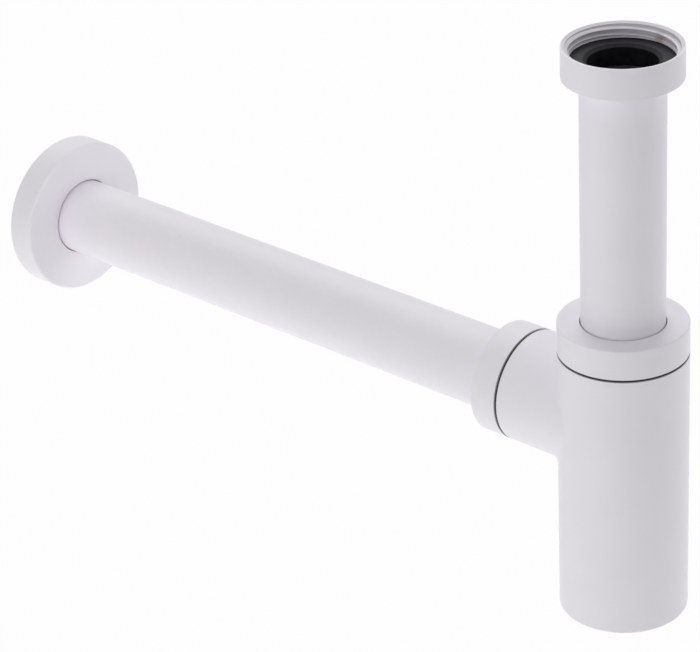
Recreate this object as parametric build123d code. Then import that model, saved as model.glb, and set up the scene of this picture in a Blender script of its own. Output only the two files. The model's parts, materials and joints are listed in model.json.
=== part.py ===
from build123d import *
import os

# Round bottle trap for a washbasin, in millimetres.
# The origin is on the inlet axis, in the plane where the tail of the basin waste seats on the inlet washer.
# +Z points up along the inlet, +Y points along the outlet towards the wall.

# Stock tube, the same for the upright tube and the wall pipe
tube_diameter = 32.0
tube_wall = 1.0
inlet_tube_length = 200.0
wall_pipe_length = 280.0

# Inlet union: pipe thread G 1 1/4 in the nut, left plain at its minor diameter
inlet_thread_diameter = 38.95
inlet_rim_height = 5.5
inlet_rim_land = 0.4
inlet_mouth_depth = 0.63
inlet_thread_lead_in = 0.57
inlet_thread_relief = 1.5
inlet_nut_wall = 1.525
inlet_nut_floor = 1.7
tube_collar_thickness = 1.4

# Rubber washer of the inlet, with a collar that hangs inside the tube
washer_collar_wall = 1.7
washer_collar_length = 4.7
washer_thickness = 3.6
washer_lead_in_width = 1.4
washer_lead_in_depth = 1.1

# Bottle with its side boss
tube_showing = 99.2
bottle_step = 2.5
bottle_height = 110.75
bottle_wall = 1.8
bottle_floor = 2.0
bottle_floor_bevel = 1.5
bottle_mouth_land = 0.4
outlet_head_room = 1.15
boss_wall = 2.3
boss_reach = 44.1
boss_fillet = 3.2

# Screwed cap of the bottle and screwed nut of the outlet: two collars, each with a threaded skirt
skirt_length = 8.6
skirt_wall = 2.2
outlet_skirt_room = 1.45
thread_run_out = 0.6

# Square rubber rings and flat gaskets
ring_section = 2.6
ring_lip = 1.8
ring_land = 2.0
gasket_thickness = 0.9
gasket_recess = 0.4

# Wall pipe and its cover flange
pipe_inset = 25.5
pipe_tail_setback = 0.3
flange_diameter = 66.0
flange_depth = 12.0
flange_wall = 1.8
flange_hub_length = 9.0
flange_hub_wall = 1.2
flange_groove_start = 3.0

# Clearances, all on the radius
slide_clearance = 0.35
seal_clearance = 0.05
groove_clearance = 0.1
groove_side_play = 0.3
thread_clearance = 0.2
gasket_clearance = 0.15
washer_clearance = 0.3

# Edges
edge_bevel = 0.5
edge_break = 0.2
bottle_base_bevel = 0.7
flange_edge_bevel = 0.6

# Radii that several pieces share
tube_radius = tube_diameter / 2
tube_bore_radius = tube_radius - tube_wall
guide_radius = tube_radius + slide_clearance
ring_inner_radius = tube_radius + seal_clearance
ring_outer_radius = ring_inner_radius + ring_section
groove_radius = ring_outer_radius + groove_clearance
groove_width = ring_section + 2 * groove_side_play
inlet_thread_radius = inlet_thread_diameter / 2
inlet_relief_radius = inlet_thread_radius + inlet_thread_relief
inlet_nut_radius = inlet_relief_radius + inlet_nut_wall
outlet_skirt_radius = guide_radius + outlet_skirt_room + skirt_wall
boss_bore_radius = outlet_skirt_radius + thread_clearance
boss_radius = boss_bore_radius + boss_wall
bottle_radius = boss_radius + bottle_step
bottle_bore_radius = bottle_radius - bottle_wall
mouth_radius = bottle_bore_radius - bottle_mouth_land
cap_skirt_radius = mouth_radius - thread_clearance
flange_radius = flange_diameter / 2
flange_hub_radius = groove_radius + flange_hub_wall

# Starts of the two ring grooves in the bore of the cap and of the outlet nut, and the height of both
lower_groove = ring_lip
upper_groove = lower_groove + groove_width + ring_land
collar_height = upper_groove + groove_width + ring_lip

# Heights along the inlet axis, from the seat of the washer downwards
nut_rim_z = inlet_rim_height
tube_top_z = -washer_thickness
nut_floor_z = tube_top_z - tube_collar_thickness
nut_bottom_z = nut_floor_z - inlet_nut_floor
tube_end_z = tube_top_z - inlet_tube_length
cap_top_z = nut_bottom_z - tube_showing
cap_bottom_z = cap_top_z - collar_height
bottle_rim_z = cap_bottom_z - gasket_thickness
bottle_bottom_z = bottle_rim_z - bottle_height
mouth_land_z = cap_bottom_z - skirt_length - thread_run_out
outlet_z = mouth_land_z - outlet_head_room - boss_bore_radius

# Places along the outlet axis, from the inlet axis towards the wall
outlet_nut_start = boss_reach + gasket_thickness
pipe_tail = pipe_inset + wall_pipe_length
flange_front = pipe_tail + pipe_tail_setback - flange_depth


def bevelled(corners):
    """Points of a closed outline of (radius, height) corners, where a third value bevels its corner."""
    points = []
    for index, (radius, height, *bevel) in enumerate(corners):
        corner = Vector(radius, height)
        if not bevel:
            points.append(corner)
            continue
        for neighbour in (corners[index - 1], corners[(index + 1) % len(corners)]):
            towards = (Vector(*neighbour[:2]) - corner).normalized()
            points.append(corner + towards * bevel[0])
    return points


def turned(*corners):
    """Solid of revolution about Z from (radius, height) corners, with an optional bevel as third value."""
    outline = Polyline(*bevelled(corners), close=True)
    return revolve(make_face(Plane.XZ * outline), Axis.Z)


def on_outlet(solid, distance=0.0):
    """Lay a piece that was turned about Z along the outlet axis, at a distance from the inlet axis."""
    return Location((0, distance, outlet_z), (-90, 0, 0)) * solid


def plain_ring(inner_radius, outer_radius, bottom, top):
    """Flat ring or tube of rectangular section."""
    return turned((inner_radius, bottom), (outer_radius, bottom), (outer_radius, top), (inner_radius, top))


def grip_ring(groove_bottom):
    """Square rubber ring round the tube, in the middle of a groove that starts at a height."""
    bottom = groove_bottom + groove_side_play
    return plain_ring(ring_inner_radius, ring_outer_radius, bottom, bottom + ring_section)


def groove_corners(bottom):
    """Corners of a ring groove in a guide bore, from its lower to its upper edge."""
    top = bottom + groove_width
    return [(guide_radius, bottom), (groove_radius, bottom), (groove_radius, top), (guide_radius, top)]


def screwed_collar(outer_radius, skirt_radius):
    """Collar with two ring grooves in its bore and a threaded skirt below, its shoulder at height 0."""
    skirt_bore_radius = skirt_radius - skirt_wall
    return turned(
        (guide_radius, 0),
        *groove_corners(lower_groove),
        *groove_corners(upper_groove),
        (guide_radius, collar_height, edge_break),
        (outer_radius, collar_height, edge_bevel),
        (outer_radius, 0, edge_break),
        (skirt_radius, 0),
        (skirt_radius, -skirt_length, edge_bevel),
        (skirt_bore_radius, -skirt_length),
        (skirt_bore_radius, 0),
    )


def make_inlet_nut():
    """Union nut: countersunk threaded mouth, relief for the washer, floor that lifts the tube's collar."""
    return turned(
        (guide_radius, nut_bottom_z, edge_break),
        (inlet_nut_radius, nut_bottom_z, edge_break),
        (inlet_nut_radius, nut_rim_z, edge_break),
        (inlet_nut_radius - inlet_rim_land, nut_rim_z),
        (inlet_relief_radius, nut_rim_z - inlet_mouth_depth),
        (inlet_thread_radius, nut_rim_z - inlet_mouth_depth - inlet_thread_lead_in),
        (inlet_thread_radius, 0),
        (inlet_relief_radius, 0),
        (inlet_relief_radius, nut_floor_z),
        (guide_radius, nut_floor_z),
    )


def make_inlet_washer():
    """Rubber washer that lies on the tube's collar and reaches into the tube."""
    collar_radius = tube_bore_radius - washer_clearance
    hole_radius = collar_radius - washer_collar_wall
    rim_radius = inlet_relief_radius - washer_clearance
    collar_end_z = tube_top_z - washer_collar_length
    return turned(
        (hole_radius, collar_end_z),
        (collar_radius, collar_end_z),
        (collar_radius, tube_top_z),
        (rim_radius, tube_top_z),
        (rim_radius, 0),
        (hole_radius + washer_lead_in_width, 0),
        (hole_radius, -washer_lead_in_depth),
    )


def make_inlet_tube():
    """Upright tube with a collar at its top that passes the nut's thread and rests on the nut's floor."""
    collar_radius = inlet_thread_radius - thread_clearance
    return turned(
        (tube_bore_radius, tube_end_z),
        (tube_radius, tube_end_z, edge_break),
        (tube_radius, nut_floor_z),
        (collar_radius, nut_floor_z),
        (collar_radius, tube_top_z),
        (tube_bore_radius, tube_top_z),
    )


def make_bottle_body():
    """Bottle and side boss, brazed and coated as one piece, with a threaded mouth and a threaded outlet."""
    floor_z = bottle_bottom_z + bottle_floor
    bottle = turned(
        (0, bottle_bottom_z),
        (bottle_radius, bottle_bottom_z, bottle_base_bevel),
        (bottle_radius, bottle_rim_z, edge_break),
        (0, bottle_rim_z),
    )
    boss = turned((0, 0), (boss_radius, 0), (boss_radius, boss_reach, edge_break), (0, boss_reach))
    outside = bottle + on_outlet(boss)
    seam = outside.edges().filter_by(lambda edge: edge.geom_type not in (GeomType.LINE, GeomType.CIRCLE))
    outside = fillet(seam, boss_fillet)
    chamber = turned(
        (0, floor_z),
        (bottle_bore_radius, floor_z, bottle_floor_bevel),
        (bottle_bore_radius, mouth_land_z),
        (mouth_radius, mouth_land_z),
        (mouth_radius, bottle_rim_z),
        (0, bottle_rim_z),
    )
    outlet = turned((0, 0), (boss_bore_radius, 0), (boss_bore_radius, boss_reach), (0, boss_reach))
    return outside - chamber - on_outlet(outlet)


def make_wall_flange():
    """Cover flange, hollow behind, with a hub that holds one rubber ring on the pipe. Its front is at 0."""
    rim_bore_radius = flange_radius - flange_wall
    return turned(
        (guide_radius, 0, edge_break),
        *groove_corners(flange_groove_start),
        (guide_radius, flange_hub_length),
        (flange_hub_radius, flange_hub_length),
        (flange_hub_radius, flange_wall),
        (rim_bore_radius, flange_wall),
        (rim_bore_radius, flange_depth),
        (flange_radius, flange_depth, edge_break),
        (flange_radius, 0, flange_edge_bevel),
    )


cap_place = Pos(0, 0, cap_bottom_z)
cap = screwed_collar(bottle_radius, cap_skirt_radius)
outlet_nut = screwed_collar(boss_radius, outlet_skirt_radius)
cap_gasket = plain_ring(
    cap_skirt_radius + gasket_clearance, bottle_radius - gasket_recess, bottle_rim_z, cap_bottom_z
)
outlet_gasket = plain_ring(
    outlet_skirt_radius + gasket_clearance, boss_radius - gasket_recess, boss_reach, outlet_nut_start
)
wall_pipe = plain_ring(tube_bore_radius, tube_radius, pipe_inset, pipe_tail)

nodes = {
    "inlet_nut": make_inlet_nut(),
    "inlet_washer": make_inlet_washer(),
    "inlet_tube": make_inlet_tube(),
    "top_cap": cap_place * cap,
    "cap_ring_lower": cap_place * grip_ring(lower_groove),
    "cap_ring_upper": cap_place * grip_ring(upper_groove),
    "cap_gasket": cap_gasket,
    "bottle_body": make_bottle_body(),
    "outlet_gasket": on_outlet(outlet_gasket),
    "outlet_nut": on_outlet(outlet_nut, outlet_nut_start),
    "outlet_ring_inner": on_outlet(grip_ring(lower_groove), outlet_nut_start),
    "outlet_ring_outer": on_outlet(grip_ring(upper_groove), outlet_nut_start),
    "wall_pipe": on_outlet(wall_pipe),
    "wall_flange": on_outlet(make_wall_flange(), flange_front),
    "flange_ring": on_outlet(grip_ring(flange_groove_start), flange_front),
}

os.makedirs("parts", exist_ok=True)
for name, solid in nodes.items():
    export_step(solid, f"parts/{name}.step")
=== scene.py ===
import json
import math
from collections import namedtuple

import bmesh
import bpy
from mathutils import Matrix, Vector

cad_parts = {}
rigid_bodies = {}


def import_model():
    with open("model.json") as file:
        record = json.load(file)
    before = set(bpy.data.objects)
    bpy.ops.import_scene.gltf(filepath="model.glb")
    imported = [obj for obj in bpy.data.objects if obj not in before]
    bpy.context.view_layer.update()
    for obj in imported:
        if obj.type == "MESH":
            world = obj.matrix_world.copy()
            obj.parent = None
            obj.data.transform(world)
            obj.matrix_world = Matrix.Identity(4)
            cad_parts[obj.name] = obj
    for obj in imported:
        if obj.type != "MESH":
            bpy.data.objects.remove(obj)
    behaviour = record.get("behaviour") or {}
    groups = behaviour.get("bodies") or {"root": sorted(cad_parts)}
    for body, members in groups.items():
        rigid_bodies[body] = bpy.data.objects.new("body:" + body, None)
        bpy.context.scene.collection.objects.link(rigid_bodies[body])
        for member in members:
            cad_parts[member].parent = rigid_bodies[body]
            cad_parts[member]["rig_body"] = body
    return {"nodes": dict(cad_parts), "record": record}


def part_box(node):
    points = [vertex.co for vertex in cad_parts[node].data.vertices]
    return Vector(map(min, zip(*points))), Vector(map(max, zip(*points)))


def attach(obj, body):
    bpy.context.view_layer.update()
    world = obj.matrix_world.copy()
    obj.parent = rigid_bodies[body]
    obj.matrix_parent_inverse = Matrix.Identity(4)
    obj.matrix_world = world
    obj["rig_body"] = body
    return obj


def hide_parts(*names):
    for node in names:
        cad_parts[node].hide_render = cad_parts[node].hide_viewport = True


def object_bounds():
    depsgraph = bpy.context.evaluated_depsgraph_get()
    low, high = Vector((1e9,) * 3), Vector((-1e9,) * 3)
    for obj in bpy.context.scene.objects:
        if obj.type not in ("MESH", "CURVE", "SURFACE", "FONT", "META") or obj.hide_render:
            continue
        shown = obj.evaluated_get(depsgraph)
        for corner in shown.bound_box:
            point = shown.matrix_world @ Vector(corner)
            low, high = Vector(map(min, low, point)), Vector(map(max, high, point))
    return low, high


# Visual model of a white bottle trap for a washbasin, in metres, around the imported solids.
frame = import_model()
cad_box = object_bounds()

mm = 0.001
full_turn = 2 * math.pi

# Fineness of the meshes
columns = 192
round_steps = 6
thread_steps = 16
long_step = 6 * mm
weld_distance = 0.0005 * mm
sharp_angle = math.radians(32)

# Window in the bottle's walls round the boss, and the rows of faces in it and along the boss
window_half_angle = math.radians(75)
window_columns = 80
window_rows = 56
blend_steps = 6
boss_rows = 12

# Sizes read from the frame
mounts = {mount["name"]: mount for mount in frame["record"]["mounts"]}
inlet_thread_radius = mounts["inlet_thread"]["dims"]["r_mm"] * mm
inlet_thread_top = mounts["inlet_thread"]["dims"]["length_mm"] * mm
tube_bore = mounts["outlet_bore"]["dims"]["r_mm"] * mm
outlet_z = mounts["outlet_bore"]["pos_m"][2]
nut_low, nut_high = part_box("inlet_nut")
washer_low, washer_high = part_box("inlet_washer")
tube_low, tube_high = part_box("inlet_tube")
cap_low, cap_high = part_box("top_cap")
ring_low, ring_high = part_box("cap_ring_lower")
bottle_low, bottle_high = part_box("bottle_body")
pipe_low, pipe_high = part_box("wall_pipe")
flange_low, flange_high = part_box("wall_flange")
cap_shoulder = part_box("cap_gasket")[1].z
outlet_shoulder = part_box("outlet_gasket")[1].y
tube_radius = pipe_high.x
bottle_radius = bottle_high.x
boss_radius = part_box("outlet_nut")[1].x

# Sizes of the solids that no box shows
slide_clearance = 0.35 * mm
groove_clearance = 0.1 * mm
groove_side_play = 0.3 * mm
thread_clearance = 0.2 * mm
washer_clearance = 0.3 * mm
ring_lip = 1.8 * mm
ring_land = 2.0 * mm
skirt_wall = 2.2 * mm
thread_run_out = 0.6 * mm
nut_relief = 1.5 * mm
nut_rim_land = 0.4 * mm
nut_mouth_depth = 0.63 * mm
tube_collar_thickness = 1.4 * mm
washer_collar_wall = 1.7 * mm
washer_lead_in_width = 1.4 * mm
washer_lead_in_depth = 1.1 * mm
bottle_wall = 1.8 * mm
bottle_floor = 2.0 * mm
bottle_floor_round = 1.5 * mm
bottle_mouth_land = 0.4 * mm
boss_wall = 2.3 * mm
boss_fillet = 3.2 * mm
flange_wall = 1.8 * mm
flange_hub_length = 9.0 * mm
flange_hub_wall = 1.2 * mm
flange_groove_start = 3.0 * mm

# Rounded edges of the coated metal and of the rubber
edge_round = 0.5 * mm
edge_break = 0.2 * mm
cap_shoulder_round = 0.05 * mm
outlet_shoulder_round = 0.35 * mm
bottle_base_round = 1.0 * mm
flange_edge_round = 0.8 * mm
rim_edge_round = 0.35 * mm
rim_round = 0.15 * mm
rubber_round = 0.3 * mm

# Radii and places that several pieces share
guide_radius = tube_radius + slide_clearance
groove_radius = ring_high.x + groove_clearance
groove_width = ring_high.z - ring_low.z + 2 * groove_side_play
skirt_length = cap_shoulder - cap_low.z
collar_height = cap_high.z - cap_shoulder
collar_seat_z = tube_high.z - tube_collar_thickness
boss_bore = boss_radius - boss_wall
bottle_bore = bottle_radius - bottle_wall
mouth_radius = bottle_bore - bottle_mouth_land
cap_skirt_radius = mouth_radius - thread_clearance
outlet_skirt_radius = boss_bore - thread_clearance
thread_length = skirt_length + thread_run_out
mouth_land_z = cap_shoulder - thread_length

# Camera of the photograph: place, turn about the upright, tilt and roll in degrees, focal length in pixels
photo_width = 700
camera_place = Vector((-815.52, -619.55, 439.53)) * mm
camera_azimuth = -47.06
camera_elevation = 28.02
camera_roll = -2.78
camera_focal_pixels = 3095.62
camera_sensor = 36.0

# Threads: crests at a height and angle, and grooves that go outwards, or inwards where the depth is negative.
# A thread runs out at its upper end, or starts there on a chamfer that reaches down to a height.
Thread = namedtuple("Thread", "pitch depth crest_height crest_angle chamfer_end", defaults=(None,))
far_side = math.pi / 2 + math.radians(camera_azimuth)
inlet_chamfer_reach = 0.9 * mm
inlet_thread = Thread(2.309 * mm, 1.45 * mm, 3.45 * mm, far_side, inlet_thread_top - inlet_chamfer_reach)
skirt_thread = Thread(2.0 * mm, -0.85 * mm, 0.0, 0.0)
mouth_thread = Thread(2.0 * mm, 0.6 * mm, 0.0, 0.0)
crest_share = 0.22
flank_share = 0.25
thread_fade = 0.5 * mm

# Matt white coat: its darker and lighter places, and its shades of painted light and shade: lighter crests
# and darker grooves in the inlet thread, a painted highlight on the nut's rim, painted shade in the inlet
# mouth and at the joints
coat_dark = (0.797, 0.770, 0.822)
coat_light = (0.825, 0.797, 0.850)
coat_cloud = 30 * mm
coat_peel = 0.9 * mm
coat_peel_depth = 0.006 * mm
coat_roughness = (0.46, 0.54)
coat_specular = 0.4
painted_crest_light = 1.02
shaded_groove_factor = 0.76
rim_highlight_factor = 1.17
mouth_painted_shade = 0.93
joint_painted_shade = 0.42

# Brown smudge on the inlet thread
smudge_colour = (0.40, 0.32, 0.215)
smudge_place = Vector((19.8, -1.6, 1.6)) * mm
smudge_core = 0.9 * mm
smudge_reach = 3.0 * mm
smudge_grain = 1.2 * mm
smudge_thin = 0.3

# Rubber: the washer is blacker than the rings and gaskets
washer_dark = (0.002, 0.0018, 0.0026)
washer_light = (0.010, 0.009, 0.0115)
gasket_dark = (0.034, 0.032, 0.037)
gasket_light = (0.044, 0.041, 0.047)
rubber_cloud = 4 * mm
rubber_grain = 0.35 * mm
rubber_grain_depth = 0.012 * mm
rubber_roughness = (0.48, 0.62)
rubber_specular = 0.16

# Bare metal inside the tubes and bores
metal_dark = (0.27, 0.25, 0.25)
metal_light = (0.40, 0.37, 0.37)
metal_cloud = 8 * mm
metal_roughness = (0.48, 0.6)

# Floor, far enough below for a soft shadow
floor_drop = 0.16
floor_size = 12.0
floor_grey = 0.85
floor_white = 0.96
floor_z = bottle_low.z - floor_drop

# Light: a pale room and large soft lamps, at angles in degrees from the camera's side to the right and up
world_fill = 0.233
Lamp = namedtuple("Lamp", "name azimuth elevation power")
lamps = (
    Lamp("front_left", -45, 15, 10.0),
    Lamp("right", 90, 15, 8.1),
    Lamp("back", 180, 50, 10.8),
    Lamp("top", 0, 88, 4.5),
)
lamp_distance = 1.6
lamp_size = 1.3
below_power = 2.64
below_size = 1.6
below_gap = 0.01

# Two weak narrow lamps for the face of the flange, each with the way from it to the lamp
FlangeLamp = namedtuple("FlangeLamp", "name way power")
flange_lamps = (
    FlangeLamp("flange_left", Vector((-0.33, -1.0, 0.02)), 0.0028),
    FlangeLamp("flange_right", Vector((0.33, -1.0, 0.02)), 0.0012),
)
flange_lamp_distance = 0.7
flange_lamp_size = 0.08
flange_lamp_spread = math.radians(10)

# A corner of a turned outline: its rounding, and the thread and the finish of the run to the next corner
Corner = namedtuple("Corner", "radius height round thread finish", defaults=(0, None, 0))


# Nodes of materials
def add_noise(tree, place, size, detail=2.0):
    """Noise whose grains have a size in metres."""
    noise = tree.nodes.new("ShaderNodeTexNoise")
    noise.inputs["Scale"].default_value = 1 / size
    noise.inputs["Detail"].default_value = detail
    tree.links.new(place, noise.inputs["Vector"])
    return noise.outputs["Fac"]


def add_range(tree, value, low, high, start=0.3, end=0.7):
    """A value brought from the range of start and end, where most noise lies, to that of low and high."""
    node = tree.nodes.new("ShaderNodeMapRange")
    node.inputs["From Min"].default_value = start
    node.inputs["From Max"].default_value = end
    node.inputs["To Min"].default_value = low
    node.inputs["To Max"].default_value = high
    tree.links.new(value, node.inputs["Value"])
    return node.outputs["Result"]


def add_math(tree, operation, first, second):
    """Number worked out from the outputs of two nodes."""
    node = tree.nodes.new("ShaderNodeMath")
    node.operation = operation
    tree.links.new(first, node.inputs[0])
    tree.links.new(second, node.inputs[1])
    return node.outputs["Value"]


def add_vector_math(tree, operation, vector, constant=(0, 0, 0)):
    """Outputs of a node that works on a vector and a constant."""
    node = tree.nodes.new("ShaderNodeVectorMath")
    node.operation = operation
    node.inputs[1].default_value = constant
    tree.links.new(vector, node.inputs[0])
    return node.outputs


def add_mix(tree, share, first, second):
    """Colour between two colours, each a value or the output of a node."""
    node = tree.nodes.new("ShaderNodeMix")
    node.data_type = "RGBA"
    tree.links.new(share, node.inputs["Factor"])
    sockets = [socket for socket in node.inputs if socket.type == "RGBA"]
    for socket, colour in zip(sockets, (first, second)):
        if isinstance(colour, tuple):
            socket.default_value = (*colour, 1.0)
        else:
            tree.links.new(colour, socket)
    return next(socket for socket in node.outputs if socket.type == "RGBA")


def add_bump(tree, height, depth, shader):
    """Relief of a depth in metres."""
    node = tree.nodes.new("ShaderNodeBump")
    node.inputs["Strength"].default_value = 1.0
    node.inputs["Distance"].default_value = depth
    tree.links.new(height, node.inputs["Height"])
    tree.links.new(node.outputs["Normal"], shader.inputs["Normal"])


def add_shader_mix(tree, share, first, second, output):
    """Surface of an output node, from the first shader to the second by a share."""
    mix = tree.nodes.new("ShaderNodeMixShader")
    tree.links.new(share, mix.inputs["Fac"])
    tree.links.new(first, mix.inputs[1])
    tree.links.new(second, mix.inputs[2])
    tree.links.new(mix.outputs["Shader"], tree.nodes[output].inputs["Surface"])


def seen_directly(tree):
    """Output that is 1 for rays from the camera and for those mirrored or passed on by gloss and glass."""
    rays = tree.nodes.new("ShaderNodeLightPath").outputs
    passed_on = add_math(tree, "MAXIMUM", rays["Is Glossy Ray"], rays["Is Transmission Ray"])
    return add_math(tree, "MAXIMUM", rays["Is Camera Ray"], passed_on)


# Materials
def new_material(name):
    """Empty node material, with its tree, its shader and its object coordinates."""
    material = bpy.data.materials.new(name)
    material.use_nodes = True
    tree = material.node_tree
    coordinates = tree.nodes.new("ShaderNodeTexCoord")
    return material, tree, tree.nodes["Principled BSDF"], coordinates.outputs["Object"]


def add_smudge(tree, place):
    """Share of a faint smudge round one place, broken up by noise."""
    distance = add_vector_math(tree, "DISTANCE", place, smudge_place)["Value"]
    near = add_range(tree, distance, 1, 0, smudge_core, smudge_reach)
    patchy = add_range(tree, add_noise(tree, place, smudge_grain, detail=3.0), smudge_thin, 1)
    return add_math(tree, "MULTIPLY", near, patchy)


def add_painted_shade_in_grooves(tree, place):
    """Share of painted shade by the depth of the inlet thread: 0 on its crests and 1 in its grooves."""
    level = add_vector_math(tree, "MULTIPLY", place, (1, 1, 0))["Vector"]
    radius = add_vector_math(tree, "LENGTH", level)["Value"]
    return add_range(tree, radius, 0, 1, inlet_thread_radius, inlet_thread_radius + inlet_thread.depth)


def add_coat_colour(tree, share, shade):
    """Colour of the coat between its dark and light places, lighter or darker as a whole by a shade of
    painted light or shade.
    """
    dark = tuple(shade * value for value in coat_dark)
    light = tuple(shade * value for value in coat_light)
    return add_mix(tree, share, dark, light)


def make_coat(name, shade=1.0, threaded=False):
    """Matt white powder coat: a faint lavender white, a little uneven, with a fine orange peel, made lighter
    or darker as a whole by a shade of painted light or shade, and on the inlet thread with painted shade in
    its grooves and a smudge.
    """
    material, tree, shader, place = new_material(name)
    cloud = add_noise(tree, place, coat_cloud)
    share = add_range(tree, cloud, 0, 1)
    colour = add_coat_colour(tree, share, shade)
    if threaded:
        # Painted shade: the grooves of the inlet thread darker than its crests; the smudge is a real mark
        grooves = add_coat_colour(tree, share, shaded_groove_factor)
        colour = add_mix(tree, add_painted_shade_in_grooves(tree, place), colour, grooves)
        colour = add_mix(tree, add_smudge(tree, place), colour, smudge_colour)
    tree.links.new(colour, shader.inputs["Base Color"])
    tree.links.new(add_range(tree, cloud, *coat_roughness), shader.inputs["Roughness"])
    shader.inputs["Specular IOR Level"].default_value = coat_specular
    add_bump(tree, add_noise(tree, place, coat_peel, detail=1.0), coat_peel_depth, shader)
    return material


def make_rubber(name, dark, light):
    """Black moulded rubber with a fine grain and a dull sheen."""
    material, tree, shader, place = new_material(name)
    cloud = add_noise(tree, place, rubber_cloud)
    grain = add_noise(tree, place, rubber_grain, detail=3.0)
    colour = add_mix(tree, add_range(tree, cloud, 0, 1), dark, light)
    tree.links.new(colour, shader.inputs["Base Color"])
    tree.links.new(add_range(tree, grain, *rubber_roughness), shader.inputs["Roughness"])
    shader.inputs["Specular IOR Level"].default_value = rubber_specular
    add_bump(tree, grain, rubber_grain_depth, shader)
    return material


def make_bare_metal():
    """Bare metal, grey and dull."""
    material, tree, shader, place = new_material("bare_metal")
    cloud = add_noise(tree, place, metal_cloud, detail=4.0)
    colour = add_mix(tree, add_range(tree, cloud, 0, 1), metal_dark, metal_light)
    tree.links.new(colour, shader.inputs["Base Color"])
    tree.links.new(add_range(tree, cloud, *metal_roughness), shader.inputs["Roughness"])
    shader.inputs["Metallic"].default_value = 1.0
    return material


white_coat = make_coat("white_coat")
# Painted light and shade on the inlet thread: lighter crests, darker grooves, and a real smudge
thread_shade_and_smudge = make_coat("thread_shade_and_smudge", painted_crest_light, threaded=True)
# Painted highlight: the nut's rim lighter than the coat
rim_painted_highlight = make_coat("rim_painted_highlight", rim_highlight_factor)
# Painted shade: the nut's mouth darker than the coat
mouth_in_painted_shade = make_coat("mouth_in_painted_shade", mouth_painted_shade)
# Painted shade: the edges at the joints darker than the coat
joint_in_painted_shade = make_coat("joint_in_painted_shade", joint_painted_shade)
black_rubber = make_rubber("black_rubber", washer_dark, washer_light)
gasket_rubber = make_rubber("gasket_rubber", gasket_dark, gasket_light)
bare_metal = make_bare_metal()

# Materials of the coated pieces, the second set with painted shade at the joints, and the places of the
# finishes in them after the white coat
coated = (white_coat, bare_metal)
coated_and_shaded_at_joints = (white_coat, bare_metal, joint_in_painted_shade)
bare_finish = 1
joint_darkened_finish = 2

# Materials of the inlet nut, with painted shade in its thread and mouth and a painted highlight on its rim,
# and the places of its finishes in them
nut_coats = (white_coat, thread_shade_and_smudge, rim_painted_highlight, mouth_in_painted_shade)
thread_shade_smudge_finish = 1
rim_highlight_finish = 2
mouth_darkened_finish = 3


# Turned forms
def slide_on_sphere(start, end, share):
    """Direction between two unit directions, at a share of the angle from the first to the second."""
    angle = start.angle(end)
    return (start * math.sin((1 - share) * angle) + end * math.sin(share * angle)) / math.sin(angle)


def arc_at(corner, before, after, radius):
    """Points of the arc that rounds a corner between its neighbours."""
    towards_before = (before - corner).normalized()
    towards_after = (after - corner).normalized()
    half = towards_before.angle(towards_after) / 2
    setback = radius / math.tan(half)
    centre = corner + (towards_before + towards_after).normalized() * radius / math.sin(half)
    start = (corner + towards_before * setback - centre).normalized()
    end = (corner + towards_after * setback - centre).normalized()
    shares = [step / round_steps for step in range(round_steps + 1)]
    return [centre + slide_on_sphere(start, end, share) * radius for share in shares]


def thread_offset(thread, angle, height):
    """Depth of a thread below its crests at a place."""
    turns = (height - thread.crest_height) / thread.pitch - (angle - thread.crest_angle) / full_turn
    wave = 1 - abs(2 * (turns % 1) - 1)
    return thread.depth * min(1, max(0, (wave - crest_share) / flank_share))


def thread_rows(start, end, thread, angles):
    """Rows of (radius, angle, height) that follow the turns of a thread, cut off square at both ends."""
    low, high = sorted((start.y, end.y))
    step = thread.pitch / thread_steps
    crest = thread.crest_height - thread.pitch * thread.crest_angle / full_turn
    rises = [thread.pitch * angle / full_turn for angle in angles]
    first = math.floor((low - crest - max(rises)) / step)
    last = math.ceil((high - crest - min(rises)) / step)
    rows = []
    for index in range(first, last + 1):
        row = []
        for angle, rise in zip(angles, rises):
            height = min(high, max(low, crest + index * step + rise))
            offset = thread_offset(thread, angle, height) * min(1, (height - low) / thread_fade)
            if thread.chamfer_end is None:
                offset *= min(1, (high - height) / thread_fade)
            else:
                share = (height - thread.chamfer_end) / (high - thread.chamfer_end)
                offset = max(offset, (start.x - end.x) * share)
            row.append((end.x + offset, angle, height))
        rows.append(row)
    return rows if start.y < end.y else rows[::-1]


def ring_row(point, angles):
    """Row of (radius, angle, height) round the axis at one point of an outline."""
    return [(point.x, angle, point.y) for angle in angles]


def plain_rows(start, end, angles):
    """Rows along a straight run, its end left out."""
    count = max(1, math.ceil((end - start).length / long_step))
    return [ring_row(start.lerp(end, step / count), angles) for step in range(count)]


def outline_runs(corners, angles):
    """Rows of each run from corner to corner, as (rows, finish) pairs. First and last corner stay sharp."""
    flat = [Vector((corner.radius, corner.height)) for corner in corners]
    arcs = [[point] for point in flat]
    for index in range(1, len(corners) - 1):
        if corners[index].round:
            arcs[index] = arc_at(flat[index], flat[index - 1], flat[index + 1], corners[index].round)
    runs = []
    for corner, arc, next_arc in zip(corners, arcs, arcs[1:]):
        rows = [ring_row(point, angles) for point in arc[:-1]]
        if corner.thread:
            rows += thread_rows(arc[-1], next_arc[0], corner.thread, angles)
        else:
            rows += plain_rows(arc[-1], next_arc[0], angles)
        rows.append(ring_row(next_arc[0], angles))
        runs.append((rows, corner.finish))
    return runs


def polar_point(radius, angle, height):
    """Point at a radius and an angle about the upright axis."""
    return Vector((radius * math.cos(angle), radius * math.sin(angle), height))


def add_patch(form, rows, material=0):
    """Faces between rows of points, each row as long as the others."""
    grid = [[form.verts.new(point) for point in row] for row in rows]
    for lower, upper in zip(grid, grid[1:]):
        for index in range(len(lower) - 1):
            face = form.faces.new((lower[index], lower[index + 1], upper[index + 1], upper[index]))
            face.material_index = material


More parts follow.
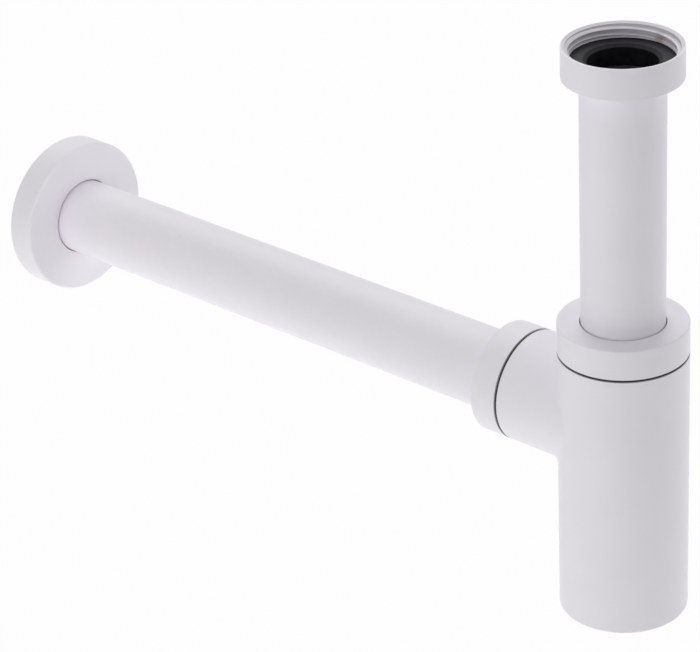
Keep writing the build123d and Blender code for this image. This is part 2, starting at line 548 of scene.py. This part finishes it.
def add_turned(form, corners, place=Matrix(), angles=None):
    """Faces of an outline turned about the upright axis and then put in its place."""
    angles = angles or [full_turn * index / columns for index in range(columns + 1)]
    for rows, finish in outline_runs(corners, angles):
        points = [[place @ polar_point(*spot) for spot in row] for row in rows]
        add_patch(form, points, finish)


def along_outlet(distance):
    """Place that lays an upright piece along the outlet axis, at a distance from the inlet axis."""
    return Matrix.Translation((0, distance, outlet_z)) @ Matrix.Rotation(-math.pi / 2, 4, "X")


def make_piece(name, form, node, materials):
    """Object of a finished form, welded and smooth, that stands for a CAD node and rides on its body."""
    bmesh.ops.remove_doubles(form, verts=form.verts, dist=weld_distance)
    bmesh.ops.dissolve_degenerate(form, edges=form.edges, dist=weld_distance)
    bmesh.ops.recalc_face_normals(form, faces=form.faces)
    mesh = bpy.data.meshes.new(name)
    form.to_mesh(mesh)
    form.free()
    mesh.shade_smooth()
    mesh.set_sharp_from_angle(angle=sharp_angle)
    for material in materials:
        mesh.materials.append(material)
    piece = bpy.data.objects.new(name, mesh)
    bpy.context.scene.collection.objects.link(piece)
    normals = piece.modifiers.new("face_normals", "WEIGHTED_NORMAL")
    normals.keep_sharp = True
    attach(piece, frame["nodes"][node]["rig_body"])
    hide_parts(node)


def turned_piece(name, node, corners, materials, place=Matrix()):
    """Piece of a closed outline turned about one axis. Its first corner stays sharp."""
    form = bmesh.new()
    add_turned(form, [*corners, corners[0]], place)
    make_piece(name, form, node, materials)


# Turned pieces on the inlet axis
def make_inlet_nut():
    """Union nut with the turns of its pipe thread."""
    relief_radius = inlet_thread_radius + nut_relief
    corners = [
        Corner(guide_radius, collar_seat_z),
        Corner(guide_radius, nut_low.z, edge_break),
        Corner(nut_high.x, nut_low.z, edge_break),
        # Painted highlight on the rim's outer edge and land
        Corner(nut_high.x, nut_high.z, rim_edge_round, finish=rim_highlight_finish),
        # Painted shade in the mouth, from the land down to the thread
        Corner(nut_high.x - nut_rim_land, nut_high.z, rim_round, finish=mouth_darkened_finish),
        # Painted shade in the thread's grooves, and a smudge on it
        Corner(relief_radius, nut_high.z - nut_mouth_depth, 0, inlet_thread, thread_shade_smudge_finish),
        Corner(inlet_thread_radius, 0),
        Corner(relief_radius, 0),
        Corner(relief_radius, collar_seat_z),
    ]
    turned_piece("inlet_nut_threaded", "inlet_nut", corners, nut_coats)


def make_inlet_washer():
    """Rubber washer with a collar that hangs in the tube."""
    collar_radius = tube_bore - washer_clearance
    hole_radius = collar_radius - washer_collar_wall
    corners = [
        Corner(hole_radius, -washer_lead_in_depth),
        Corner(hole_radius, washer_low.z, rubber_round),
        Corner(collar_radius, washer_low.z, rubber_round),
        Corner(collar_radius, tube_high.z),
        Corner(washer_high.x, tube_high.z, rubber_round),
        Corner(washer_high.x, 0, rubber_round),
        Corner(hole_radius + washer_lead_in_width, 0, rubber_round),
    ]
    turned_piece("inlet_washer_moulded", "inlet_washer", corners, (black_rubber,))


def make_inlet_tube():
    """Upright tube with its collar, bare inside."""
    corners = [
        Corner(tube_bore, tube_low.z),
        Corner(tube_radius, tube_low.z, edge_break),
        Corner(tube_radius, collar_seat_z),
        Corner(tube_high.x, collar_seat_z, edge_break),
        Corner(tube_high.x, tube_high.z, edge_break),
        Corner(tube_bore, tube_high.z, finish=bare_finish),
    ]
    turned_piece("upright_tube", "inlet_tube", corners, coated)


# Screwed collars
def collar_corners(outer_radius, skirt_radius, shoulder_round, shoulder_shade_finish=0):
    """Outline of a screwed collar with two ring grooves and a threaded skirt, its shoulder at height 0."""
    skirt_bore = skirt_radius - skirt_wall
    corners = [Corner(skirt_bore, 0, finish=bare_finish), Corner(guide_radius, 0, finish=bare_finish)]
    for bottom in (ring_lip, ring_lip + groove_width + ring_land):
        corners.append(Corner(guide_radius, bottom, finish=bare_finish))
        corners.append(Corner(groove_radius, bottom, finish=bare_finish))
        corners.append(Corner(groove_radius, bottom + groove_width, finish=bare_finish))
        corners.append(Corner(guide_radius, bottom + groove_width, finish=bare_finish))
    corners.append(Corner(guide_radius, collar_height, edge_break))
    corners.append(Corner(outer_radius, collar_height, edge_round))
    # The shoulder's edge takes painted shade where a finish for it is given
    corners.append(Corner(outer_radius, 0, shoulder_round, finish=shoulder_shade_finish))
    corners.append(Corner(skirt_radius, 0, 0, skirt_thread))
    corners.append(Corner(skirt_radius, -skirt_length + edge_round))
    corners.append(Corner(skirt_radius - edge_round, -skirt_length))
    corners.append(Corner(skirt_bore, -skirt_length))
    return corners


def make_top_cap():
    """Screwed cap of the bottle."""
    corners = collar_corners(bottle_radius, cap_skirt_radius, cap_shoulder_round)
    place = Matrix.Translation((0, 0, cap_shoulder))
    turned_piece("top_cap_threaded", "top_cap", corners, coated, place=place)


def make_outlet_nut():
    """Screwed nut of the outlet, its edge at the gasket darker with painted shade."""
    corners = collar_corners(boss_radius, outlet_skirt_radius, outlet_shoulder_round, joint_darkened_finish)
    turned_piece("outlet_nut_threaded", "outlet_nut", corners, coated_and_shaded_at_joints, place=along_outlet(outlet_shoulder))


# Turned pieces on the outlet axis
def make_wall_pipe():
    """Level pipe to the wall, bare inside."""
    length = pipe_high.y - pipe_low.y
    corners = [
        Corner(tube_bore, 0),
        Corner(tube_radius, 0, edge_break),
        Corner(tube_radius, length, edge_break),
        Corner(tube_bore, length, finish=bare_finish),
    ]
    turned_piece("wall_pipe_coated", "wall_pipe", corners, coated, place=along_outlet(pipe_low.y))


def make_wall_flange():
    """Cover flange, hollow behind, with a hub that holds a ring."""
    depth = flange_high.y - flange_low.y
    rim_bore = flange_high.x - flange_wall
    hub_radius = groove_radius + flange_hub_wall
    groove_end = flange_groove_start + groove_width
    coat_end = 2 * edge_break
    corners = [
        Corner(guide_radius, flange_groove_start, finish=bare_finish),
        Corner(groove_radius, flange_groove_start, finish=bare_finish),
        Corner(groove_radius, groove_end, finish=bare_finish),
        Corner(guide_radius, groove_end, finish=bare_finish),
        Corner(guide_radius, flange_hub_length),
        Corner(hub_radius, flange_hub_length, edge_break),
        Corner(hub_radius, flange_wall, edge_round),
        Corner(rim_bore, flange_wall, edge_round),
        Corner(rim_bore, depth),
        Corner(flange_high.x, depth, edge_break),
        Corner(flange_high.x, 0, flange_edge_round),
        Corner(guide_radius, 0, edge_break),
        Corner(guide_radius, coat_end, finish=bare_finish),
    ]
    turned_piece("wall_flange_coated", "wall_flange", corners, coated, place=along_outlet(flange_low.y))


# Bottle with its side boss
def window_spots():
    """Places round the edge of a square from -1 to 1, from its lower right corner up and round again."""
    across = [2 * index / window_columns - 1 for index in range(window_columns)]
    upright = [2 * index / window_rows - 1 for index in range(window_rows)]
    spots = [(1, share) for share in upright]
    spots += [(-share, 1) for share in across]
    spots += [(-1, -share) for share in upright]
    spots += [(share, -1) for share in across]
    return [*spots, spots[0]]


def boss_angles():
    """Angles of the window's places about the outlet axis, rising through one full turn."""
    angles = [math.atan2(y, x) for x, y in window_spots()]
    first = angles[0]
    rising = [angle if angle >= first else angle + full_turn for angle in angles[:-1]]
    return [*rising, first + full_turn]


def far_angles():
    """Angles from the outlet of the bottle's columns beside and behind the window."""
    count = columns - window_columns
    step = (full_turn - 2 * window_half_angle) / count
    return [window_half_angle + step * index for index in range(count + 1)]


def wall_angles():
    """Angles from +X of all columns of the bottle, those above and below the window first."""
    step = 2 * window_half_angle / window_columns
    near = [step * index - window_half_angle for index in range(window_columns)]
    return [math.pi / 2 - angle for angle in near + far_angles()]


def wall_point(radius, angle, height):
    """Point on an upright wall, its angle counted from the outlet towards +X."""
    return Vector((radius * math.sin(angle), radius * math.cos(angle), height))


def saddle_point(radius, wall_radius, angle):
    """Point of the curve where a tube along the outlet meets an upright wall."""
    across = radius * math.cos(angle)
    return Vector((across, math.sqrt(wall_radius ** 2 - across ** 2), outlet_z + radius * math.sin(angle)))


def boss_point(radius, distance, angle):
    """Point round the outlet axis, at a distance from the inlet axis."""
    return Vector((radius * math.cos(angle), distance, outlet_z + radius * math.sin(angle)))


def fillet_rows(angles):
    """Rows of the fillet between bottle and boss, as a ball leaves it that rolls along both."""
    rows = [[] for _ in range(round_steps + 1)]
    for angle in angles:
        centre = saddle_point(boss_radius + boss_fillet, bottle_radius + boss_fillet, angle)
        to_bottle = Vector((-centre.x, -centre.y, 0)).normalized()
        to_boss = Vector((-math.cos(angle), 0, -math.sin(angle)))
        for step, row in enumerate(rows):
            row.append(centre + slide_on_sphere(to_bottle, to_boss, step / round_steps) * boss_fillet)
    return rows


def add_pierced_wall(form, radius, loop, low, high, material=0):
    """Upright wall between two heights, open where a loop of its own points goes round the outlet."""
    middle = (low + high) / 2
    half = (high - low) / 2
    window = [(window_half_angle * x, middle + half * y) for x, y in window_spots()]
    rows = []
    for step in range(blend_steps + 1):
        share = step / blend_steps
        row = []
        for point, (angle, height) in zip(loop, window):
            start = math.atan2(point.x, point.y)
            around = start + (angle - start) * share
            row.append(wall_point(radius, around, point.z + (height - point.z) * share))
        rows.append(row)
    add_patch(form, rows, material)
    far = far_angles()
    heights = [low + (high - low) * index / window_rows for index in range(window_rows + 1)]
    add_patch(form, [[wall_point(radius, angle, height) for angle in far] for height in heights], material)


def add_bridge(form, start, end, material=0):
    """Straight faces from one loop of points to another."""
    shares = [step / boss_rows for step in range(boss_rows + 1)]
    rows = [[first.lerp(second, share) for first, second in zip(start, end)] for share in shares]
    add_patch(form, rows, material)


def add_boss(form, angles, fillet, saddle):
    """Boss with its fillet and its threaded bore, which ends at a saddle curve in the bottle's chamber."""
    boss_end = bottle_high.y
    thread_end = boss_end - thread_length
    add_patch(form, fillet)
    add_bridge(form, fillet[-1], [boss_point(boss_radius, boss_end - edge_break, angle) for angle in angles])
    corners = [
        Corner(boss_radius, boss_end - edge_break),
        Corner(boss_radius, boss_end, edge_break),
        Corner(boss_bore, boss_end, 0, mouth_thread),
        Corner(boss_bore, thread_end),
    ]
    add_turned(form, corners, along_outlet(0), [-angle for angle in angles])
    add_bridge(form, [boss_point(boss_bore, thread_end, angle) for angle in angles], saddle, bare_finish)


def add_bottle_outside(form, loop):
    """Outside of the bottle and its threaded mouth, open where a loop goes round the boss."""
    window_high = bottle_high.z - edge_round
    window_low = 2 * outlet_z - window_high
    mouth = [
        Corner(bottle_radius, window_high),
        # Painted shade on the rim's edge and top at the cap's gasket
        Corner(bottle_radius, bottle_high.z, edge_break, finish=joint_darkened_finish),
        Corner(mouth_radius, bottle_high.z, 0, mouth_thread),
        Corner(mouth_radius, mouth_land_z),
        Corner(bottle_bore, mouth_land_z),
    ]
    base = [
        Corner(bottle_radius, window_low),
        Corner(bottle_radius, bottle_low.z, bottle_base_round),
        Corner(0, bottle_low.z),
    ]
    add_pierced_wall(form, bottle_radius, loop, window_low, window_high)
    add_turned(form, mouth, angles=wall_angles())
    add_turned(form, base, angles=wall_angles())


def add_bottle_inside(form, loop):
    """Chamber of the bottle, open where a loop goes round the bore of the boss."""
    chamber_low = 2 * outlet_z - mouth_land_z
    chamber_floor = bottle_low.z + bottle_floor
    floor = [
        Corner(bottle_bore, chamber_low, finish=bare_finish),
        Corner(bottle_bore, chamber_floor, bottle_floor_round, finish=bare_finish),
        Corner(0, chamber_floor),
    ]
    add_pierced_wall(form, bottle_bore, loop, chamber_low, mouth_land_z, bare_finish)
    add_turned(form, floor, angles=wall_angles())


def make_bottle():
    """Bottle and side boss in one piece, bare inside."""
    form = bmesh.new()
    angles = boss_angles()
    fillet = fillet_rows(angles)
    saddle = [saddle_point(boss_bore, bottle_bore, angle) for angle in angles]
    add_bottle_outside(form, fillet[0])
    add_boss(form, angles, fillet, saddle)
    add_bottle_inside(form, saddle)
    make_piece("bottle_with_boss", form, "bottle_body", coated_and_shaded_at_joints)


make_inlet_nut()
make_inlet_washer()
make_inlet_tube()
make_top_cap()
make_outlet_nut()
make_bottle()
make_wall_pipe()
make_wall_flange()

# Rings and gaskets keep their solids and get the look of rubber
rubber_nodes = (
    "cap_ring_lower", "cap_ring_upper", "cap_gasket", "outlet_gasket",
    "outlet_ring_inner", "outlet_ring_outer", "flange_ring",
)
for node in rubber_nodes:
    for slot in frame["nodes"][node].material_slots:
        slot.material = gasket_rubber


# Floor, light and camera
def make_floor():
    """Plain pale floor that looks nearly white and keeps a faint shadow."""
    material = bpy.data.materials.new("floor_white")
    material.use_nodes = True
    tree = material.node_tree
    tree.nodes.remove(tree.nodes["Principled BSDF"])
    diffuse = tree.nodes.new("ShaderNodeBsdfDiffuse")
    diffuse.inputs["Color"].default_value = (floor_grey, floor_grey, floor_grey, 1)
    glow = tree.nodes.new("ShaderNodeEmission")
    glow.inputs["Color"].default_value = (1, 1, 1, 1)
    share = add_range(tree, seen_directly(tree), 0, floor_white, 0, 1)
    add_shader_mix(tree, share, diffuse.outputs["BSDF"], glow.outputs["Emission"], "Material Output")
    half = floor_size / 2
    corners = [(-half, -half, floor_z), (half, -half, floor_z), (half, half, floor_z), (-half, half, floor_z)]
    mesh = bpy.data.meshes.new("floor")
    mesh.from_pydata(corners, [], [(0, 1, 2, 3)])
    mesh.materials.append(material)
    floor = bpy.data.objects.new("floor", mesh)
    bpy.context.scene.collection.objects.link(floor)


def make_world():
    """White to look at, a softer grey as light."""
    world = bpy.data.worlds.new("studio")
    bpy.context.scene.world = world
    world.use_nodes = True
    tree = world.node_tree
    fill = tree.nodes["Background"]
    fill.inputs["Color"].default_value = (1, 1, 1, 1)
    fill.inputs["Strength"].default_value = world_fill
    white = tree.nodes.new("ShaderNodeBackground")
    white.inputs["Color"].default_value = (1, 1, 1, 1)
    white.inputs["Strength"].default_value = 1.0
    backgrounds = fill.outputs["Background"], white.outputs["Background"]
    add_shader_mix(tree, seen_directly(tree), *backgrounds, "World Output")


def direction(azimuth, elevation):
    """Direction from the object, at angles in degrees from the camera's side to the right and up."""
    around = math.radians(camera_azimuth + azimuth)
    up = math.radians(elevation)
    return Vector((math.sin(around) * math.cos(up), -math.cos(around) * math.cos(up), math.sin(up)))


def add_lamp(name, place, target, size, power, spread=math.pi):
    """Soft square lamp that faces a point and isn't seen itself."""
    light = bpy.data.lights.new(name, "AREA")
    light.size = size
    light.energy = power
    light.spread = spread
    lamp = bpy.data.objects.new(name, light)
    lamp.location = place
    lamp.rotation_euler = (target - place).to_track_quat("-Z", "Y").to_euler()
    lamp.visible_camera = False
    bpy.context.scene.collection.objects.link(lamp)


def add_lamps():
    """Lamps round the object, below it and on the face of the flange."""
    middle = (cad_box[0] + cad_box[1]) / 2
    for lamp in lamps:
        place = middle + direction(lamp.azimuth, lamp.elevation) * lamp_distance
        add_lamp(lamp.name, place, middle, lamp_size, lamp.power)
    below = Vector((middle.x, middle.y, floor_z + below_gap))
    add_lamp("below", below, middle, below_size, below_power)
    flange_face = Vector((0, flange_low.y, outlet_z))
    for lamp in flange_lamps:
        place = flange_face + lamp.way.normalized() * flange_lamp_distance
        add_lamp(lamp.name, place, flange_face, flange_lamp_size, lamp.power, flange_lamp_spread)


def make_camera():
    """Camera at the place and with the view of the photograph."""
    back = direction(0, camera_elevation)
    right = (-back).cross(Vector((0, 0, 1))).normalized()
    up = back.cross(right)
    roll = math.radians(camera_roll)
    rolled_right = right * math.cos(roll) + up * math.sin(roll)
    rolled_up = up * math.cos(roll) - right * math.sin(roll)
    turn = Matrix((rolled_right, rolled_up, back)).transposed().to_4x4()
    data = bpy.data.cameras.new("photo_camera")
    data.sensor_fit = "HORIZONTAL"
    data.sensor_width = camera_sensor
    data.lens = camera_focal_pixels * camera_sensor / photo_width
    camera = bpy.data.objects.new("photo_camera", data)
    camera.matrix_world = Matrix.Translation(camera_place) @ turn
    bpy.context.scene.collection.objects.link(camera)
    bpy.context.scene.camera = camera


make_floor()
make_world()
add_lamps()
make_camera()
bpy.context.scene.view_settings.view_transform = "Standard"
